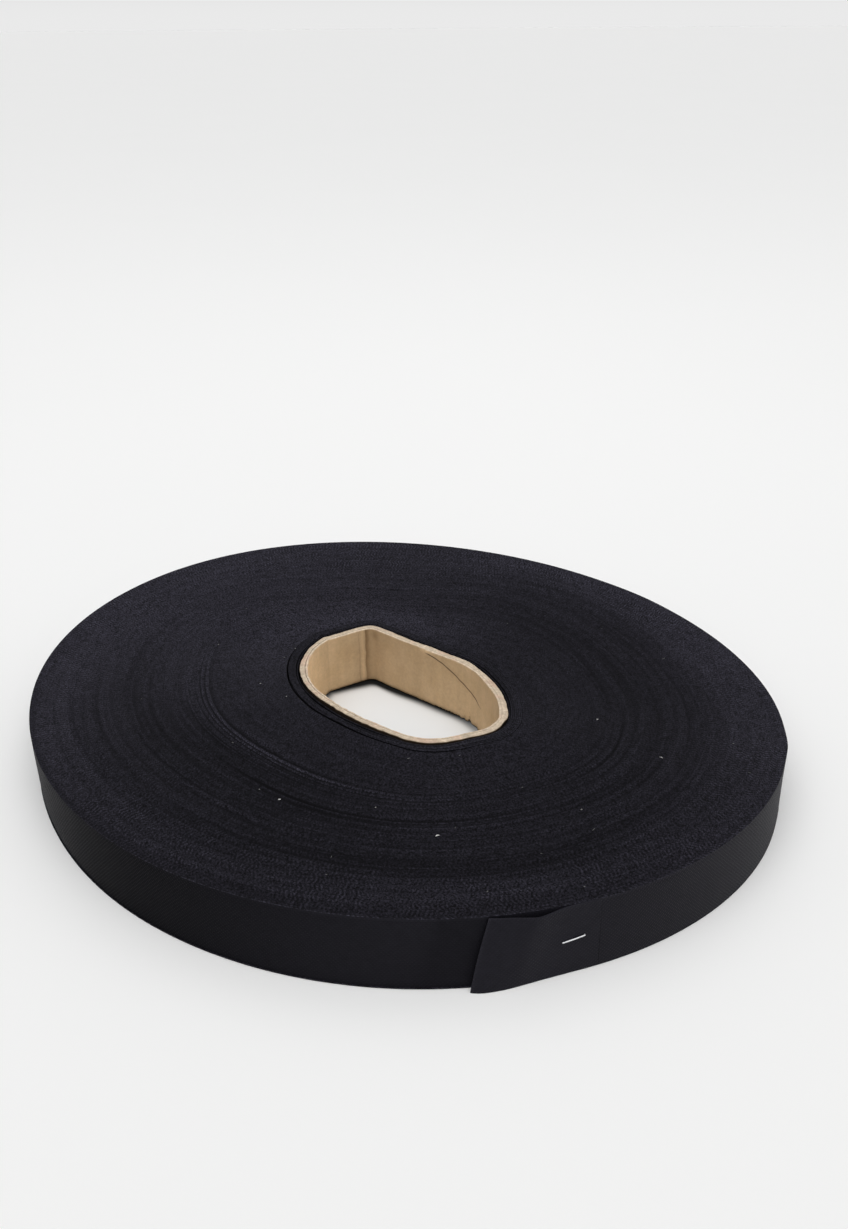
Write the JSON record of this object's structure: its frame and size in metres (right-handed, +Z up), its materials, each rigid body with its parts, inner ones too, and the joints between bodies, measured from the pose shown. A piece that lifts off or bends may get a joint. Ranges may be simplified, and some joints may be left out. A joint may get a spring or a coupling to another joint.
{
  "type": "roll of non-woven strip",
  "caption": "Flat roll of black embossed non-woven strip wound on a cardboard tube pressed oval, its loose end stapled to the turn below.",
  "frame": {"origin": "on the surface that the roll lies on, under the middle of its bounding box", "axes": "+Z up, along the tube; -Y is the front, where the loose end is; +X to the right seen from the front"},
  "size_m": [0.2796, 0.2728, 0.0254],
  "materials": {
    "strip": "black spunbond non-woven seen on its cut edges, wound turn on turn, matt",
    "strip_end": "black spunbond non-woven, fine embossed diamond grid, soft sheen at grazing angles",
    "tube_board": "brown kraft tube board, matt, paler at its cut edge",
    "staple_wire": "bright galvanised wire"
  },
  "bodies": {
    "root": {"strip_roll": "strip", "loose_end": "strip_end", "core_tube": "tube_board", "staple": "staple_wire"}
  },
  "joints": []
}
